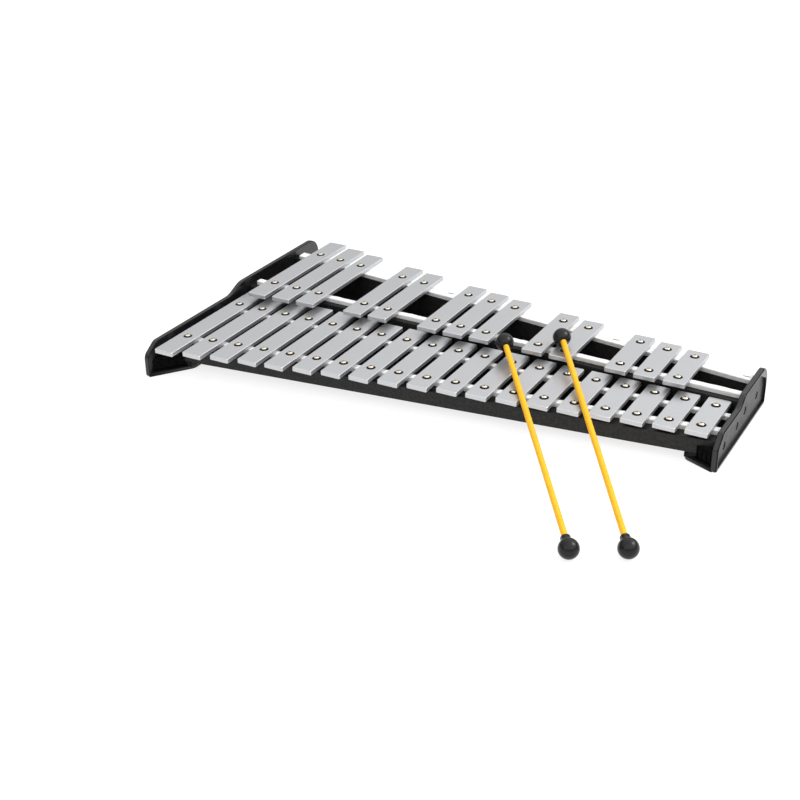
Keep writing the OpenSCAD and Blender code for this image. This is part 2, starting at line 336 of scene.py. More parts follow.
def between_values(tree, value, low, high, from_low=0.3, from_high=0.7):
    """Noise spread over a range of values."""
    inputs = {"Value": value, "From Min": from_low, "From Max": from_high}
    inputs.update({"To Min": low, "To Max": high})
    return add(tree, "MapRange", inputs).outputs["Result"]


def mixed(tree, factor, a, b):
    """Two colours mixed by a factor."""
    made = add(tree, "Mix", data_type="RGBA")
    for index, value in ((0, factor), (6, a), (7, b)):
        if isinstance(value, bpy.types.NodeSocket):
            tree.links.new(value, made.inputs[index])
        else:
            made.inputs[index].default_value = value if index == 0 else (*value, 1)
    return made.outputs[2]


def toned(tree, value, a, b):
    """A colour that goes from a to b with noise."""
    return mixed(tree, between_values(tree, value, 0, 1), a, b)


def edge_wear_and_shade(tree, least=0.35, most=1.0):
    """0 on flat faces, rising along outer edges, where it is patchy: wear on most materials, painted shade
    on the black plastics.
    """
    edge = add(tree, "Attribute", attribute_name="edge_mark").outputs["Fac"]
    patches = between_values(tree, speckle(tree, 3 * MM, 4), least, most, 0.4, 0.6)
    return add(tree, "Math", {0: edge, 1: patches}, operation="MULTIPLY").outputs[0]


def relief(tree, layers):
    """Bump from (height, depth in metres) layers, the coarsest first."""
    normal = None
    for height, depth in layers:
        inputs = {"Height": height, "Distance": depth, "Strength": 1.0}
        if normal is not None:
            inputs["Normal"] = normal
        normal = add(tree, "Bump", inputs).outputs["Normal"]
    return normal


def set_surface(tree, shader, values):
    for name, value in values.items():
        if isinstance(value, bpy.types.NodeSocket):
            tree.links.new(value, shader.inputs[name])
        else:
            shader.inputs[name].default_value = value


def bar_silver():
    """Silver stoved on the bars: fine metallic flake in a satin coat."""
    material, tree, shader = new_material("bar_silver")
    flake = speckle(tree, 0.55 * MM, 6)
    cloud = speckle(tree, 34 * MM, 3)
    tone = toned(tree, flake, (0.47, 0.475, 0.49), (0.6, 0.605, 0.62))
    tone = mixed(tree, between_values(tree, cloud, 0, 0.25), tone, (0.56, 0.565, 0.58))
    tone = mixed(tree, edge_wear_and_shade(tree, 0.25, 0.7), tone, (0.7, 0.705, 0.715))
    set_surface(tree, shader, {
        "Base Color": tone,
        "Metallic": 0.82,
        "Roughness": between_values(tree, flake, 0.3, 0.42),
        "Normal": relief(tree, [(speckle(tree, 9 * MM, 2), 0.02 * MM), (flake, 0.012 * MM)]),
    })
    return material


def moulded_black(name, grain, depth, low, high, gloss=0.5):
    """Black moulded plastic with a fine spark-eroded grain; its rounded edges are glossier and carry
    painted shade, darker and less reflective.
    """
    material, tree, shader = new_material(name)
    pits = speckle(tree, grain, 5)
    patches = speckle(tree, 14 * MM, 4)
    tone = toned(tree, patches, (0.006, 0.006, 0.0065), (0.01, 0.01, 0.0105))
    shaded_edge = edge_wear_and_shade(tree, 0.8)
    matt = between_values(tree, patches, low, high)
    set_surface(tree, shader, {
        # painted shade on the rounded edges: a darker colour and a weaker reflection that make a black line
        # along them
        "Base Color": mixed(tree, shaded_edge, tone, (0.002, 0.002, 0.002)),
        "Roughness": between_values(tree, shaded_edge, matt, 0.12, 0, 1),
        "Specular IOR Level": between_values(tree, shaded_edge, gloss, 0.15 * gloss, 0, 1),
        "Normal": relief(tree, [(pits, depth)]),
    })
    return material


def rail_black():
    """Black paint over wood: the grain runs along the rail and just shows."""
    material, tree, shader = new_material("rail_black")
    grain = speckle(tree, 1.6 * MM, 6, stretch=(0.03, 1, 1), distortion=0.6)
    peel = speckle(tree, 2.4 * MM, 3)
    tone = toned(tree, grain, (0.004, 0.004, 0.0045), (0.009, 0.009, 0.0095))
    tone = mixed(tree, edge_wear_and_shade(tree), tone, (0.022, 0.021, 0.02))
    set_surface(tree, shader, {
        "Base Color": tone,
        "Roughness": between_values(tree, grain, 0.38, 0.54),
        "Specular IOR Level": 0.2,
        "Normal": relief(tree, [(grain, 0.06 * MM), (peel, 0.02 * MM)]),
    })
    return material


def board_black():
    """Black hardboard with a pressed cross-hatch."""
    material, tree, shader = new_material("board_black")
    where = place_of(tree)
    inputs = {"Vector": where, "Scale": 1 / HATCH, "Randomness": 0.25}
    hatch = add(tree, "TexVoronoi", inputs).outputs["Distance"]
    blotch = speckle(tree, 20 * MM, 5)
    tone = toned(tree, blotch, (0.002, 0.002, 0.002), (0.004, 0.004, 0.004))
    set_surface(tree, shader, {
        "Base Color": tone,
        "Specular IOR Level": 0.1,
        "Roughness": between_values(tree, blotch, 0.6, 0.8),
        "Normal": relief(tree, [(blotch, 0.1 * MM), (hatch, 0.12 * MM)]),
    })
    return material


def felt_white():
    """Pressed wool: short crossing fibres over soft lumps."""
    material, tree, shader = new_material("felt_white")
    lumps = speckle(tree, 3 * MM, 4)
    fibre = speckle(tree, 0.5 * MM, 8, distortion=2.5)
    tone = toned(tree, lumps, (0.72, 0.72, 0.705), (0.8, 0.8, 0.79))
    streak = speckle(tree, 0.9 * MM, 4, stretch=(0.04, 1, 1))
    tone = mixed(tree, between_values(tree, fibre, 0, 0.3), tone, (0.6, 0.6, 0.59))
    tone = mixed(tree, between_values(tree, streak, 0, 0.45, 0.45, 0.7), tone, (0.42, 0.42, 0.42))
    set_surface(tree, shader, {
        "Base Color": tone,
        "Roughness": 0.95,
        "Specular IOR Level": 0.15,
        "Sheen Weight": 0.3,
        "Sheen Roughness": 0.6,
        "Normal": relief(tree, [(lumps, 0.3 * MM), (fibre, 0.15 * MM)]),
    })
    return material


def nickel():
    """Warm nickel plate, polished by hand and a little uneven."""
    material, tree, shader = new_material("nickel")
    smear = speckle(tree, 1.5 * MM, 4)
    tone = toned(tree, smear, (0.66, 0.58, 0.46), (0.82, 0.74, 0.62))
    tone = mixed(tree, edge_wear_and_shade(tree), tone, (0.9, 0.84, 0.74))
    set_surface(tree, shader, {
        "Base Color": tone,
        "Metallic": 1.0,
        "Roughness": between_values(tree, smear, 0.1, 0.2),
        "Normal": relief(tree, [(speckle(tree, 0.4 * MM, 3), 0.008 * MM)]),
    })
    return material


def recess_shade():
    """Painted shade down in the screws' recesses: dull dark metal."""
    material, tree, shader = new_material("recess_painted_shade")
    shade_mottle = speckle(tree, 0.5 * MM, 4)
    set_surface(tree, shader, {
        "Base Color": toned(tree, shade_mottle, (0.03, 0.026, 0.022), (0.09, 0.08, 0.07)),
        "Metallic": 0.5,
        "Roughness": between_values(tree, shade_mottle, 0.5, 0.7),
        "Normal": relief(tree, [(shade_mottle, 0.02 * MM)]),
    })
    return material


def black_oxide():
    """Blackened steel of the cap screws."""
    material, tree, shader = new_material("black_oxide")
    smear = speckle(tree, 1.2 * MM, 4)
    tone = toned(tree, smear, (0.02, 0.02, 0.022), (0.045, 0.045, 0.05))
    set_surface(tree, shader, {
        "Base Color": mixed(tree, edge_wear_and_shade(tree), tone, (0.12, 0.12, 0.12)),
        "Metallic": 0.8,
        "Roughness": between_values(tree, smear, 0.3, 0.45),
    })
    return material


def zinc():
    """Galvanised staple wire."""
    material, tree, shader = new_material("zinc")
    bloom = speckle(tree, 0.8 * MM, 4)
    tone = toned(tree, bloom, (0.09, 0.09, 0.1), (0.2, 0.2, 0.21))
    set_surface(tree, shader, {
        "Base Color": tone,
        "Metallic": 1.0,
        "Roughness": between_values(tree, bloom, 0.3, 0.5),
    })
    return material


def rubber(name, colour, low, high, grain, depth, gloss):
    """Black rubber with a faint skin from the mould."""
    material, tree, shader = new_material(name)
    skin = speckle(tree, grain, 5)
    bloom = speckle(tree, 6 * MM, 4)
    lighter = tuple(1.7 * c for c in colour)
    set_surface(tree, shader, {
        "Base Color": toned(tree, bloom, colour, lighter),
        "Roughness": between_values(tree, bloom, low, high),
        "Specular IOR Level": gloss,
        "Normal": relief(tree, [(bloom, 0.05 * MM), (skin, depth)]),
    })
    return material


def shaft_yellow():
    """Extruded yellow plastic with faint streaks and a few darker scuffs."""
    material, tree, shader = new_material("shaft_yellow")
    streak = speckle(tree, 5 * MM, 5)
    scuff = speckle(tree, 1.1 * MM, 6, distortion=1.5)
    tone = toned(tree, streak, (0.8, 0.4, 0.003), (0.86, 0.45, 0.005))
    tone = mixed(tree, between_values(tree, scuff, 0, 0.35, 0.62, 0.75), tone, (0.55, 0.27, 0.003))
    set_surface(tree, shader, {
        "Base Color": tone,
        "Roughness": between_values(tree, streak, 0.38, 0.5),
        "Specular IOR Level": 0.35,
        "Subsurface Weight": 0.12,
        "Subsurface Radius": (1.2 * MM, 0.8 * MM, 0.2 * MM),
        "Normal": relief(tree, [(streak, 0.05 * MM), (scuff, 0.02 * MM)]),
    })
    return material


def floor_white():
    """A pale sheet of studio paper."""
    material, tree, shader = new_material("floor_white")
    mottle = speckle(tree, 60 * MM, 4)
    set_surface(tree, shader, {
        "Base Color": toned(tree, mottle, (0.26, 0.26, 0.26), (0.28, 0.28, 0.28)),
        "Roughness": 0.9,
        "Specular IOR Level": 0.1,
        "Emission Color": (1, 1, 1, 1),
        "Emission Strength": FLOOR_GLOW,
    })
    return material


BAR = bar_silver()
CAP = moulded_black("cap_black", 0.5 * MM, 0.02 * MM, 0.22, 0.3)
PANEL = moulded_black("panel_black", 0.9 * MM, 0.06 * MM, 0.38, 0.5)
# a shaded copy of the black plastic for the foot's ribbed wall: painted shade, with a weak reflection and a
# rougher surface
HOLLOW_SHADE = moulded_black("hollow_painted_shade", 0.5 * MM, 0.02 * MM, 0.5, 0.6, gloss=0.1)
RAIL = rail_black()
BOARD = board_black()
FELT = felt_white()
SCREW = nickel()
RECESS_SHADE = recess_shade()
CAP_SCREW = black_oxide()
STAPLE = zinc()
GROMMET = rubber("grommet_black", (0.006, 0.006, 0.006), 0.5, 0.65, 0.6 * MM, 0.03 * MM, 0.1)
BALL = rubber("ball_black", (0.005, 0.005, 0.006), 0.22, 0.3, 0.5 * MM, 0.012 * MM, 0.28)
SHAFT = shaft_yellow()

# ---- bars ----

ROWS = ("natural", "sharp")
BAR_CORNER = 1.6 * MM
BAR_EDGE = 0.75 * MM
HOLE_GAP = 0.05 * MM
bars = [n for n in nodes if n.startswith("bar_")]
screws = {row: solids_of(row + "_bar_screws") for row in ROWS}
grommets = {row: solids_of(row + "_bar_grommets") for row in ROWS}


def row_of(bar):
    """Which row a bar is in: sharps are named with an s after their letter."""
    return "sharp" if bar[5] == "s" else "natural"


def make_bar(node):
    low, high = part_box(node)
    centre = (low + high) / 2
    outline = rounded_rectangle((centre.x, centre.y), high.x - low.x, high.y - low.y, BAR_CORNER)
    holes = []
    for a, b in grommets[row_of(node)]:
        middle = (a + b) / 2
        if abs(middle.x - centre.x) < MM:
            holes.append(((middle.x, middle.y), (b.x - a.x) / 2 + HOLE_GAP))
    bm = bmesh.new()
    slab(bm, outline, flat(low.z), high.z - low.z, BAR_EDGE, holes)
    made = to_object(bm, node + "_detailed", BAR)
    stand_for(made, node, "bar")


for bar in bars:
    make_bar(bar)

# ---- grommets and bar screws ----

LIP = 0.3 * MM
SHANK_GAP = 0.1 * MM
SCREW_SHANK_R, SCREW_HEAD_R, SCREW_LENGTH = 1.75 * MM, 3.2 * MM, 21 * MM
SCREW_WALL, SCREW_CROWN, SCREW_EDGE = 0.9 * MM, 1.1 * MM, 0.2 * MM
RECESS_REACH, RECESS_DEPTH, RECESS_OVERCUT = 2.1 * MM, 1.25 * MM, 0.4 * MM
DOME_STEPS = 7
LEAN = 1


def make_grommets(row):
    """A ring for every screw: its outside rolls over a little where it meets the bar's top."""
    bm = bmesh.new()
    for low, high in grommets[row]:
        middle, outer, height = (low + high) / 2, (high.x - low.x) / 2, high.z - low.z
        bore = SCREW_SHANK_R + SHANK_GAP
        ring = [(bore, 0), (outer - LIP, 0), (outer, LIP), (outer, height - 2.2 * LIP)]
        ring += [(outer - 0.35 * LIP, height - 0.9 * LIP), (outer - 1.2 * LIP, height - 0.25 * LIP)]
        ring += [(outer - 2.4 * LIP, height), (SCREW_SHANK_R + LIP, height), (bore, height - LIP)]
        lathe(bm, ring + ring[:1], Matrix.Translation((middle.x, middle.y, low.z)))
    bmesh.ops.remove_doubles(bm, verts=bm.verts, dist=WELD)
    stand_for(to_object(bm, row + "_grommets_detailed", GROMMET), row + "_bar_grommets", "grommet")


def screw_blank(head_r, wall, crown, shank_r, length):
    """A pan-head screw before its recess is cut. Its head sits on Z = 0 and its shank points down."""
    tip = 2.2 * shank_r
    shank = [(0, -length), (0.25 * shank_r, -length + 0.3 * tip), (shank_r, -length + tip), (shank_r, 0)]
    rim = [(head_r - SCREW_EDGE, 0), (head_r, SCREW_EDGE), (head_r, wall)]
    dome_r = (head_r ** 2 + crown ** 2) / (2 * crown)
    dome = []
    for i in range(1, DOME_STEPS):
        r = head_r * math.cos(math.pi / 2 * i / DOME_STEPS)
        dome.append((r, wall + crown - dome_r + math.sqrt(dome_r ** 2 - r ** 2)))
    bm = bmesh.new()
    lathe(bm, shank + rim + dome + [(0, wall + crown)], steps=32)
    return to_object(bm, "screw_pattern", SCREW, RECESS_SHADE)


def recess_cutter(recess, head_top):
    """A cross whose arms reach out by recess and narrow towards the bottom."""
    bm = bmesh.new()
    top = head_top + RECESS_OVERCUT
    bottom = top - RECESS_DEPTH - RECESS_OVERCUT
    for turn in (0, 1):
        spin = Matrix.Rotation(math.pi / 2 * turn, 4, "Z")
        loops = []
        for z, reach, half in ((bottom, 0.55, 0.3), (top, 1.0, 0.42)):
            x, y = reach * recess, half * recess * 0.5
            corners = ((-x, -y), (x, -y), (x, y), (-x, y))
            loops.append([spin @ Vector((*corner, z)) for corner in corners])
        for row in loft(bm, loops):
            fill(bm, row)
    # the cutter's faces become the recess walls, which take the second material: painted shade
    for face in bm.faces:
        face.material_index = 1
    return to_object(bm, "recess_pattern", SCREW, RECESS_SHADE)


def screw_mesh(head_r, wall, crown, shank_r, length, recess):
    """A pan-head screw whose cross recess carries painted shade."""
    head = screw_blank(head_r, wall, crown, shank_r, length)
    cutter = recess_cutter(recess, wall + crown)
    cut = head.modifiers.new("recess", "BOOLEAN")
    cut.operation, cut.solver, cut.object = "DIFFERENCE", "EXACT", cutter
    cut.use_self = True
    evaluated = head.evaluated_get(bpy.context.evaluated_depsgraph_get())
    finished = bpy.data.meshes.new_from_object(evaluated)
    bpy.data.objects.remove(head)
    bpy.data.objects.remove(cutter)
    return finished


def copies(mesh, places):
    """One bmesh that holds a copy of a mesh at every place."""
    bm = bmesh.new()
    for place in places:
        start = len(bm.verts)
        bm.from_mesh(mesh)
        bm.verts.ensure_lookup_table()
        bmesh.ops.transform(bm, matrix=place, verts=bm.verts[start:])
    return bm


def make_bar_screws(row):
    """Every head is turned as its screwdriver left it, and leans by up to LEAN degrees."""
    places = []
    for low, high in screws[row]:
        seat = high.z - SCREW_WALL - SCREW_CROWN
        turn = Matrix.Rotation(chance.uniform(0, math.pi / 2), 4, "Z")
        lean = Matrix.Rotation(math.radians(chance.uniform(-LEAN, LEAN)), 4, "X")
        middle = Matrix.Translation(((low.x + high.x) / 2, (low.y + high.y) / 2, seat))
        places.append(middle @ lean @ turn)
    made = to_object(copies(BAR_SCREW, places), row + "_screws_detailed", SCREW, RECESS_SHADE)
    stand_for(made, row + "_bar_screws", "screw")


BAR_SCREW = screw_mesh(SCREW_HEAD_R, SCREW_WALL, SCREW_CROWN, SCREW_SHANK_R, SCREW_LENGTH, RECESS_REACH)
for row in ROWS:
    make_grommets(row)
    make_bar_screws(row)

# ---- felt strips ----

FELT_STEP, FELT_GRID = 1.6 * MM, 0.9 * MM
FELT_ROUND = 1.1 * MM
FELT_END, FELT_END_SIZE = 2 * MM, 0.82
# how far from a bar's edge a strip is fully free, and how much it swells and spreads there
FREE_RUN, FELT_SWELL, FELT_SPREAD = 4 * MM, 0.15 * MM, 0.05
# height of the lumps, of the fuzz on them and of the fuzz pressed flat by a bar, and the strip's wandering
LUMP, FUZZ, PRESSED_FUZZ, WANDER = 0.35 * MM, 0.12 * MM, 0.06 * MM, 0.56 * MM
LUMP_LENGTH, LUMP_WIDTH = 7 * MM, 5 * MM
FUZZ_LENGTH, FUZZ_WIDTH = 1.7 * MM, 1.5 * MM
WANDER_LENGTH = 38 * MM


def bar_gap(row, x):
    """0 under a bar of the row, rising smoothly to 1 at FREE_RUN from its edge."""
    away = min(abs(x - centre) - half for centre, half in bar_spans[row])
    return min(away / FREE_RUN, 1) ** 0.6 if away > 0 else 0


def felt_section(width, height):
    """Cross-section of a strip as (across, up): rounded shoulders over a flat foot."""
    foot = [Vector((-width / 2, 0)), Vector((width / 2, 0))]
    shoulders = arc((width / 2 - FELT_ROUND, height - FELT_ROUND), FELT_ROUND, 0, 90, 4)
    shoulders += arc((FELT_ROUND - width / 2, height - FELT_ROUND), FELT_ROUND, 90, 180, 4)
    corners = foot + shoulders
    points = []
    for i, point in enumerate(corners):
        following = corners[(i + 1) % len(corners)]
        pieces = max(1, round((following - point).length / FELT_GRID))
        points += [point.lerp(following, k / pieces) for k in range(pieces)]
    return points


def felt_loop(section, x, middle, low_z, high_z, free, cut):
    """The section at x: lumpy where it is free of bars, and smaller where cut is below 1, at an end."""
    shrink = 1 if cut >= 1 else FELT_END_SIZE + (1 - FELT_END_SIZE) * math.sin(math.pi / 2 * cut)
    height = high_z - low_z
    wander = noise.noise(Vector((x / WANDER_LENGTH, 3.7, 50 * high_z / MM))) * WANDER
    loop = []
    for point in section:
        up = point.y / height
        lump = noise.noise(Vector((x / LUMP_LENGTH, point.x / LUMP_WIDTH, up + high_z / MM)))
        where = Vector((x / FUZZ_LENGTH, point.x / FUZZ_WIDTH, point.y / FUZZ_WIDTH + middle))
        fuzz = noise.noise(where)
        across = point.x * shrink * (1 + FELT_SPREAD * free * up) + wander * up
        grown = lump * LUMP * free + fuzz * FUZZ * min(1, 0.3 + free)
        across += math.copysign(grown, point.x) * up
        swell = (FELT_SWELL * free + grown) * up if free > 0 else -abs(fuzz) * PRESSED_FUZZ * up
        loop.append((x, middle + across, low_z + point.y * shrink ** 0.5 + swell))
    return loop


def make_felt(node, row):
    """A strip that swells and wanders between the bars. Its ends are cut by hand, so they round off."""
    corners, low_z, high_z = strip_of(node)
    front_left, front_right, rear_right, rear_left = corners
    section = felt_section(rear_left.y - front_left.y, high_z - low_z)
    count = round((front_right.x - front_left.x) / FELT_STEP)
    loops = []
    for i in range(count + 1):
        x = front_left.x + (front_right.x - front_left.x) * i / count
        middle = (between(front_left, front_right, x) + between(rear_left, rear_right, x)) / 2
        cut = min(i, count - i) * FELT_STEP / FELT_END
        loops.append(felt_loop(section, x, middle, low_z, high_z, bar_gap(row, x), cut))
    bm = bmesh.new()
    rows = loft(bm, loops)
    fill(bm, rows[0])
    fill(bm, rows[-1])
    made = to_object(bm, node + "_detailed", FELT)
    stand_for(made, node, "felt")


bar_spans = {row: [] for row in ROWS}
for bar in bars:
    a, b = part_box(bar)
    bar_spans[row_of(bar)].append(((a.x + b.x) / 2, (b.x - a.x) / 2))
for row in ROWS:
    for line in ("front", "rear"):
        make_felt(f"{row}_{line}_felt", row)

# ---- rails, base board and staples ----

RAIL_EDGE, BOARD_EDGE = 0.6 * MM, 0.3 * MM
WIRE_R, WIRE_BEND = 0.38 * MM, 1.2 * MM


def make_timber(node, slot, material, edge):
    corners, low_z, high_z = strip_of(node)
    bm = bmesh.new()
    slab(bm, corners, flat(low_z), high_z - low_z, edge)
    made = to_object(bm, node + "_detailed", material)
    stand_for(made, node, slot)


for rail in ("natural_front_rail", "natural_rear_rail", "sharp_front_rail", "sharp_rear_rail"):
    make_timber(rail, "rail", RAIL, RAIL_EDGE)
make_timber("base_board", "board", BOARD, BOARD_EDGE)


def make_staples():
    """Round wire with soft corners, its crown pulled a little into the felt."""
    wire = bpy.data.curves.new("felt_staples_detailed", "CURVE")
    wire.dimensions = "3D"
    wire.bevel_depth = WIRE_R
    wire.bevel_resolution = 3
    wire.use_fill_caps = True
    for low, high in solids_of("felt_staples"):
        left, right, bend_z = low.x + WIRE_R, high.x - WIRE_R, high.z - WIRE_R - WIRE_BEND
        path = [Vector((left, low.z))]
        path += arc((left + WIRE_BEND, bend_z), WIRE_BEND, 180, 90, 5)
        path += arc((right - WIRE_BEND, bend_z), WIRE_BEND, 90, 0, 5)
        path += [Vector((right, low.z))]
        line = wire.splines.new("POLY")
        line.points.add(len(path) - 1)
        for point, (x, z) in zip(line.points, path):
            point.co = (x, (low.y + high.y) / 2, z, 1)
    made = bpy.data.objects.new(wire.name, wire)
    scene.collection.objects.link(made)
    wire.materials.append(STAPLE)
    stand_for(made, "felt_staples", "staple")


make_staples()

# ---- end caps ----

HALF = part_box("natural_front_rail")[1].x
SHELF = 39.4 * MM
BOTTOM_CORNER = 3 * MM
INNER_EDGE = 1.0 * MM
OUTER_EDGE = 1.8 * MM
REAR_R = 20 * MM
RIM, RIM_FOOT, RIM_DEPTH = 2.6 * MM, 4 * MM, 3 * MM
RIM_EDGE = 0.35 * MM
# the sunk panel's rear top corner is cut off along two lines that meet at the knee
CUT_RUN, CUT_DROP, CUT_KNEE = 31 * MM, 27 * MM, (7 * MM, 15.3 * MM)
SINK, SINK_R, SINK_EDGE = 1.8 * MM, 4.2 * MM, 0.3 * MM
FOOT_REACH, FOOT_CORNER, FLANGE = 32 * MM, 5 * MM, 5 * MM
# the foot starts inside the cap, its seat and wall reach into the flange, and the flange's front end
# stays a little behind the cap's front edge
FOOT_INSIDE, FOOT_OVERLAP, FOOT_SETBACK, SEAT_INSET = -2 * MM, 1 * MM, 0.2 * MM, 0.5 * MM
FLANGE_EDGE, WALL_EDGE, RIB_EDGE = 1.2 * MM, 0.5 * MM, 0.25 * MM
WALL_SETBACK, WALL, WALL_TOP, WALL_REACH = 4.5 * MM, 2.4 * MM, 20 * MM, 0.86
RIB_COUNT, RIB = 5, 0.9 * MM
BEND_HEIGHT = 27 * MM
BOLT_HEAD_R, BOLT_SHANK_R, BOLT_LENGTH, BOLT_RECESS = 3.9 * MM, 1.6 * MM, 20 * MM, 1.9 * MM
BOLT_WALL, BOLT_CROWN = 0.6 * MM, 1.0 * MM
# the step starts and ends so far ahead of the rear, and the foot's front edge ends so far behind the
# front face of the rail
Cap = namedtuple("Cap", "side step_start step_end slant bend_r foot_overlap")
CAPS = {
    "low_end_cap": Cap(-1, 207 * MM, 172 * MM, 18.5 * MM, 11 * MM, 5.5 * MM),
    "high_end_cap": Cap(1, 105 * MM, 82 * MM, 15 * MM, 6.5 * MM, 2 * MM),
}


def cap_front(front, rear, top, cap, inwards):
    """Front slant, shelf and step of a cap's profile, moved inwards; it runs from front to rear."""
    bend_r = cap.bend_r
    tilt = math.atan2(SHELF - BEND_HEIGHT, cap.slant)
    low_bend = (front + bend_r, BEND_HEIGHT - bend_r * math.tan(math.pi / 4 - tilt / 2))
    high_bend = (front + cap.slant + bend_r * math.tan(tilt / 2), SHELF - bend_r)
    turn = 90 + math.degrees(tilt)
    curve = arc(low_bend, bend_r - inwards, 180, turn, 10) + arc(high_bend, bend_r - inwards, turn, 90, 10)
    step = s_curve((rear - cap.step_start, SHELF - inwards), (rear - cap.step_end, top - inwards), 20)
    return curve + step


def cap_outline(front, rear, top, cap):
    """Side view of a cap, anticlockwise seen from +X."""
    outline = arc((rear - REAR_R, top - REAR_R), REAR_R, 90, 0, 20)
    outline += arc((rear - BOTTOM_CORNER, BOTTOM_CORNER), BOTTOM_CORNER, 0, -90, 5)
    outline += arc((front + BOTTOM_CORNER, BOTTOM_CORNER), BOTTOM_CORNER, -90, -180, 5)
    return (outline + cap_front(front, rear, top, cap, 0))[::-1]


def panel_outline(front, rear, top, cap):
    """Outline of the sunk panel: the rim is wider at the foot and at the rear corner."""
    knee = (rear - CUT_KNEE[0], top - CUT_KNEE[1])
    cut = [(rear - CUT_RUN, top - RIM), knee, (rear - RIM, top - CUT_DROP)]
    corners = cut + [(rear - RIM, RIM_FOOT), (front + RIM, RIM_FOOT)]
    return ([Vector(c) for c in corners] + cap_front(front, rear, top, cap, RIM))[::-1]


def cap_slab(bm, node, thickness):
    """The cap itself: a rounded slab with a sunk panel, and a pocket in it for every screw."""
    cap = CAPS[node]
    low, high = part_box(node)
    outline = cap_outline(low.y, high.y, high.z, cap)
    sunk = panel_outline(low.y, high.y, high.z, cap)

    def place(point, height):
        return (cap.side * (HALF + height), point.x, point.y)

    quarter = [math.pi / 2 * i / 3 for i in range(4)]
    body = [(INNER_EDGE * (1 - math.sin(t)), INNER_EDGE * (1 - math.cos(t))) for t in quarter]
    body += [(OUTER_EDGE * (1 - math.cos(t)), thickness - OUTER_EDGE * (1 - math.sin(t))) for t in quarter]
    sides = loft(bm, [[place(p, h) for p in inset(outline, i)] for i, h in body])
    fill(bm, sides[0])
    panel = thickness - RIM_DEPTH
    dip = [(-RIM_EDGE, thickness), (-0.3 * RIM_EDGE, thickness - 0.3 * RIM_EDGE), (0, thickness - RIM_EDGE)]
    dip += [(0, panel + RIM_EDGE), (0.3 * RIM_EDGE, panel + 0.3 * RIM_EDGE), (RIM_EDGE, panel)]
    walls = loft(bm, [[place(p, h) for p in inset(sunk, i)] for i, h in dip])
    fill(bm, sides[-1], walls[0])
    pockets = []
    for a, b in solids_of(node.replace("end_cap", "cap_screws")):
        centre = ((a.y + b.y) / 2, (a.z + b.z) / 2)
        steps = [(SINK_R + SINK_EDGE, panel), (SINK_R, panel - SINK_EDGE), (SINK_R, panel - SINK)]
        pocket = loft(bm, [[place(p, h) for p in circle(centre, r)] for r, h in steps])
        fill(bm, pocket[-1])
        pockets.append(pocket[0])
    for face in fill(bm, walls[-1], *pockets):
        face.material_index = 1


def foot_plan(a, b, rear):
    """The flange from above, as (distance in from the cap's inner face, Y): its front edge runs a to b."""
    along = (b - a).normalized()
    plan = [Vector((FOOT_INSIDE, a.y + FOOT_SETBACK)), a]
    for i in range(9):
        t = i / 8
        plan.append(b - along * FOOT_CORNER * (1 - t) ** 2 + Vector((0, FOOT_CORNER)) * t ** 2)
    return plan + [Vector((FOOT_REACH, rear)), Vector((FOOT_INSIDE, rear))]


def foot_wall(bm, place, a, b):
    """A ribbed wall behind the foot's front edge, which runs from a to b."""
    along = (b - a).normalized()
    back = Vector((-along.y, along.x))
    start, end = a + back * WALL_SETBACK, a + (b - a) * WALL_REACH + back * WALL_SETBACK

    def at_cap(point):
        """Where the wall's line through a point meets the cap, just inside it."""
        return point + along * (FOOT_INSIDE - point.x) / along.x

    before = len(bm.faces)
    wall = [at_cap(start), end, end + back * WALL, at_cap(start + back * WALL)]
    slab(bm, wall, place, WALL_TOP - FLANGE + FOOT_OVERLAP, WALL_EDGE)
    for i in range(RIB_COUNT):
        foot = start + (end - start) * (i + 0.6) / RIB_COUNT - back * RIB
        rib = [foot, foot + along * RIB, foot + along * RIB + back * 2 * RIB, foot + back * 2 * RIB]
        slab(bm, rib, place, WALL_TOP - FLANGE, RIB_EDGE)
    # the wall and ribs take the third material, painted shade for the hollow behind the foot
    for face in list(bm.faces)[before:]:
        face.material_index = 2


def cap_foot(bm, node):
    """Front foot: a flange on the table, a seat under the rail's end and a ribbed wall."""
    cap = CAPS[node]
    corners, rail_low, _ = strip_of("natural_front_rail")

    def rail_front(u):
        return between(corners[0], corners[1], cap.side * (HALF - u))

    def place(z):
        return lambda point, height: (cap.side * (HALF - point.x), point.y, z + height)

    a, b = Vector((0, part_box(node)[0].y)), Vector((FOOT_REACH, rail_front(FOOT_REACH) + cap.foot_overlap))
    rear = between(corners[3], corners[2], cap.side * (HALF - FOOT_REACH))
    slab(bm, foot_plan(a, b, rear), place(0), FLANGE, FLANGE_EDGE)
    inner, back = FOOT_REACH - SEAT_INSET, rear - SEAT_INSET
    seat = [Vector((FOOT_INSIDE, rail_front(0))), Vector((inner, rail_front(FOOT_REACH)))]
    seat += [Vector((inner, back)), Vector((FOOT_INSIDE, back))]
    slab(bm, seat, place(FLANGE - FOOT_OVERLAP), rail_low - FLANGE + FOOT_OVERLAP, WALL_EDGE)
    foot_wall(bm, place(FLANGE - FOOT_OVERLAP), a, b)


def make_cap(node):
    low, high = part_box(node)
    thickness = max(abs(low.x), abs(high.x)) - HALF
    bm = bmesh.new()
    cap_slab(bm, node, thickness)
    cap_foot(bm, node)
    made = to_object(bm, node + "_detailed", CAP, PANEL, HOLLOW_SHADE)
    stand_for(made, node, "cap")


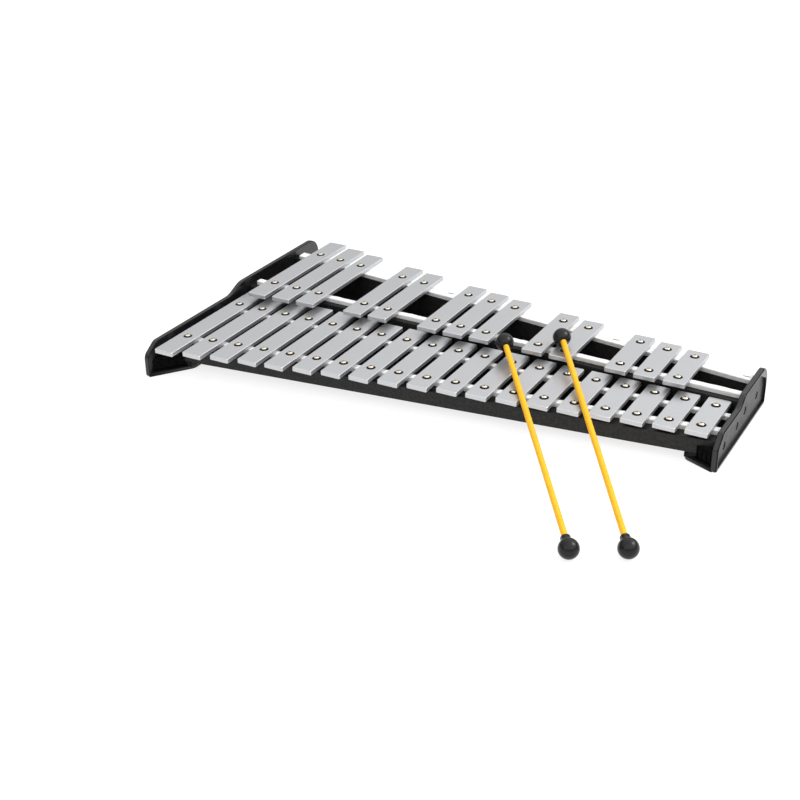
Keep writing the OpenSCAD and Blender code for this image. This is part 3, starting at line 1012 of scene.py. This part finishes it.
def make_cap_screws(node, side):
    places = []
    for low, high in solids_of(node):
        outer = max(abs(low.x), abs(high.x))
        spin = Matrix.Rotation(chance.uniform(0, math.pi), 4, "Z")
        tip = Matrix.Rotation(side * math.pi / 2, 4, "Y")
        seat = (side * (outer - BOLT_WALL - BOLT_CROWN), (low.y + high.y) / 2, (low.z + high.z) / 2)
        places.append(Matrix.Translation(seat) @ tip @ spin)
    stand_for(to_object(copies(CAP_BOLT, places), node + "_detailed", CAP_SCREW, RECESS_SHADE), node, "cap_screw")


CAP_BOLT = screw_mesh(BOLT_HEAD_R, BOLT_WALL, BOLT_CROWN, BOLT_SHANK_R, BOLT_LENGTH, BOLT_RECESS)
for node, cap in CAPS.items():
    make_cap(node)
    make_cap_screws(node.replace("end_cap", "cap_screws"), cap.side)

# ---- mallets ----

NECK_R, NECK_END, NECK_EDGE = 5.1 * MM, 15.2 * MM, 0.4 * MM
# the fillet between a ball and its neck: how far it spreads on the ball, and how high it ends on the neck
FILLET_SPREAD, FILLET_HEIGHT = 0.9 * MM, 1.3 * MM
SOCKET, SOCKET_GAP, SOCKET_EDGE, SOCKET_LIP = 6 * MM, 0.06 * MM, 0.4 * MM, 0.5 * MM
SHAFT_EDGE, SHAFT_RINGS = 0.4 * MM, 60
SEAM = 0.07 * MM


def ball_profile(radius, start, end, steps=44):
    """(radius, height) round a ball between two angles from its lower pole, with a mould seam."""
    points = []
    for i in range(steps + 1):
        angle = math.radians(start + (end - start) * i / steps)
        ridge = SEAM * math.exp(-((angle - math.pi / 2) / 0.03) ** 2)
        points.append(((radius + ridge) * math.sin(angle), -(radius + ridge) * math.cos(angle)))
    return points


def mallet_sizes(mallet):
    """Centres of a mallet's end ball and head, the radius of both, and its shaft's radius."""
    low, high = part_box(mallet + "_head")
    head, ball_r = (low + high) / 2, (high.x - low.x) / 2
    low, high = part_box(mallet + "_end_ball")
    foot = Vector((high.x - ball_r, low.y + ball_r, low.z + ball_r))
    low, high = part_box(mallet + "_shaft")
    span, slope = (head - foot).length, abs((head - foot).normalized().x)
    # what the shaft's width leaves once its length between the sockets is taken off
    across = high.x - low.x - slope * span + 2 * (ball_r - SOCKET) * slope
    return foot, head, ball_r, across / (2 * math.sqrt(1 - slope ** 2))


def shaft_profile(shaft_r, start, end):
    profile = [(0, start), (shaft_r - SHAFT_EDGE, start), (shaft_r, start + SHAFT_EDGE)]
    profile += [(shaft_r, start + (end - start) * i / SHAFT_RINGS) for i in range(1, SHAFT_RINGS)]
    return profile + [(shaft_r, end - SHAFT_EDGE), (shaft_r - SHAFT_EDGE, end), (0, end)]


def head_profile(ball_r, shaft_r):
    """A ball with a socket that the shaft fills."""
    mouth = math.degrees(math.asin((shaft_r + SOCKET_LIP) / ball_r))
    hole_r = shaft_r + SOCKET_GAP
    inside = [(0, SOCKET - ball_r), (hole_r, SOCKET - ball_r), (hole_r, SOCKET_EDGE - ball_r)]
    return inside + ball_profile(ball_r, mouth, 179) + [(0, ball_r)]


def end_ball_profile(ball_r, shaft_r):
    """A ball with a neck that the shaft comes out of."""
    shoulder = 180 - math.degrees(math.asin((NECK_R + FILLET_SPREAD) / ball_r))
    ball = ball_profile(ball_r, 1, shoulder)
    top = ball[-1][1]
    hole_r = shaft_r + SOCKET_GAP
    neck = [(NECK_R + 0.25 * MM, top + 0.5 * MM), (NECK_R, top + FILLET_HEIGHT)]
    neck += [(NECK_R, NECK_END - NECK_EDGE), (NECK_R - 0.3 * NECK_EDGE, NECK_END - 0.3 * NECK_EDGE)]
    neck += [(NECK_R - NECK_EDGE, NECK_END)]
    inside = [(hole_r, NECK_END), (hole_r, ball_r - SOCKET), (0, ball_r - SOCKET)]
    return [(0, -ball_r)] + ball + neck + inside


def make_mallet(mallet):
    """Shaft, head and end ball of one mallet, along the line between its two balls' centres."""
    foot, head, ball_r, shaft_r = mallet_sizes(mallet)
    turn = (head - foot).normalized().to_track_quat("Z", "Y").to_matrix().to_4x4()
    shaft = shaft_profile(shaft_r, ball_r - SOCKET, (head - foot).length - ball_r + SOCKET)
    parts = [
        ("_shaft", "mallet_shaft", SHAFT, foot, shaft, 32),
        ("_head", "mallet_ball", BALL, head, head_profile(ball_r, shaft_r), 48),
        ("_end_ball", "mallet_ball", BALL, foot, end_ball_profile(ball_r, shaft_r), 48),
    ]
    for part, slot, material, centre, profile, steps in parts:
        bm = bmesh.new()
        lathe(bm, profile, Matrix.Translation(centre) @ turn, steps)
        stand_for(to_object(bm, mallet + part + "_detailed", material), mallet + part, slot, mallet)


for mallet in ("mallet_1", "mallet_2"):
    make_mallet(mallet)

# ---- floor and studio light ----

FLOOR_HALF = 14
SKY_HORIZON, SKY_BAND, SKY_HIGH, SKY_LEAN = 1.0, 0.03, 1.5, 0.7
# heights in the sky between which the horizon fades into the band, and the band into the softbox
HORIZON_FADE, SOFTBOX_FADE = (0.08, 0.14), (0.15, 0.6)
LAMP_REACH, LAMP_SIZE = 2.4, 1.1


def make_floor():
    bm = bmesh.new()
    bmesh.ops.create_grid(bm, x_segments=8, y_segments=8, size=FLOOR_HALF)
    floor = to_object(bm, "floor", floor_white())


def make_sky():
    """A broad overhead softbox, brighter to the right, over a dark band and a pale horizon."""
    world = bpy.data.worlds.new("studio")
    scene.world = world
    world.use_nodes = True
    tree = world.node_tree
    direction = add(tree, "TexCoord").outputs["Generated"]
    parts = add(tree, "SeparateXYZ", {"Vector": direction}).outputs

    def rise(low, high, start=0.0, end=1.0):
        """A smooth change from start to end between two heights of the sky."""
        inputs = {"Value": parts["Z"], "From Min": low, "From Max": high, "To Min": start, "To Max": end}
        return add(tree, "MapRange", inputs, interpolation_type="SMOOTHSTEP").outputs["Result"]

    inputs = {0: parts["X"], 1: SKY_LEAN, 2: SKY_HIGH}
    softbox = add(tree, "Math", inputs, operation="MULTIPLY_ADD").outputs[0]
    inputs = {0: rise(*SOFTBOX_FADE), 1: softbox, 2: rise(*HORIZON_FADE, SKY_HORIZON, SKY_BAND)}
    level = add(tree, "Math", inputs, operation="MULTIPLY_ADD").outputs[0]
    tree.links.new(level, tree.nodes["Background"].inputs["Strength"])
    tree.nodes["Background"].inputs["Color"].default_value = (1, 1, 1, 1)


def make_lamp(name, direction, power):
    """A round softbox that stands off in a direction and faces the object."""
    data = bpy.data.lights.new(name, "AREA")
    data.shape, data.size, data.energy = "DISK", LAMP_SIZE, power
    lamp = bpy.data.objects.new(name, data)
    scene.collection.objects.link(lamp)
    lamp.location = Vector(direction) * LAMP_REACH
    lamp.rotation_mode = "QUATERNION"
    lamp.rotation_quaternion = (-lamp.location).to_track_quat("-Z", "Y")


make_floor()
make_sky()
make_lamp("front", (-0.12, -0.92, 0.38), 3)
make_lamp("right", (0.61, 0.3, 0.73), 22)
scene.view_settings.view_transform = "Standard"
